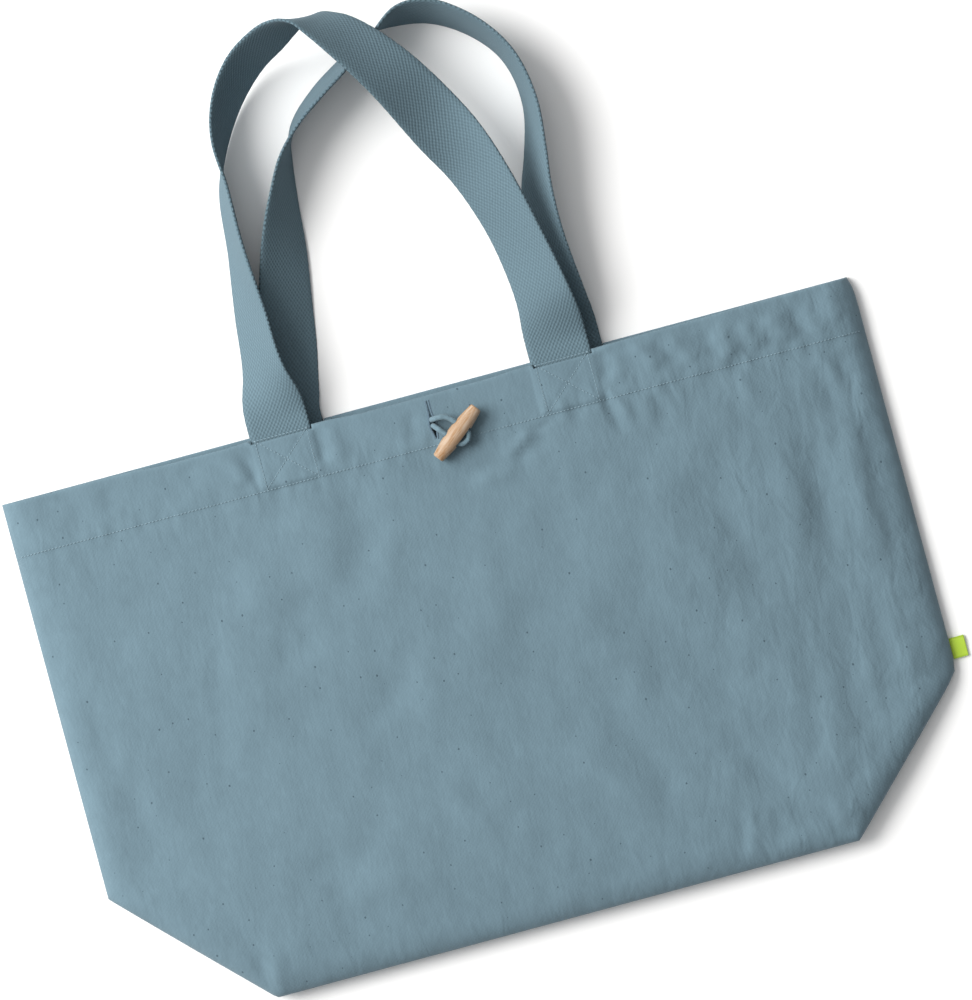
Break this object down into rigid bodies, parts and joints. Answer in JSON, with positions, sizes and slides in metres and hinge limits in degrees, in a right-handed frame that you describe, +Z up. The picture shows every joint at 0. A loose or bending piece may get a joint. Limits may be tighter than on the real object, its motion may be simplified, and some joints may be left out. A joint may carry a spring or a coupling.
{
  "type": "cotton tote bag",
  "caption": "Cotton canvas tote lying flat on its back, with a folded-in base, webbing shoulder handles, a hemmed mouth and a wooden toggle on a cord loop.",
  "frame": {"origin": "middle of the flat back panel, on its underside, where the bag rests", "axes": "+Z up out of the surface that the bag lies on, +Y from the base towards the mouth and the handles, +X across the bag towards the small side label"},
  "size_m": [0.5498, 0.5767, 0.0652],
  "materials": {
    "canvas": "washed blue-grey plain weave cotton canvas, matt",
    "webbing": "blue-grey cotton webbing with a dashed twill surface, matt",
    "cord": "blue-grey cotton cord, matt",
    "wood": "pale turned wood, sanded, satin",
    "ribbon": "lime green woven ribbon, bare"
  },
  "bodies": {
    "root": {"front_panel": "canvas", "back_panel": "canvas", "base_gusset": "canvas", "front_hem": "canvas", "back_hem": "canvas", "front_handle": "webbing", "back_handle": "webbing", "toggle": "wood", "toggle_loop": "cord", "side_label": "ribbon"}
  },
  "joints": []
}
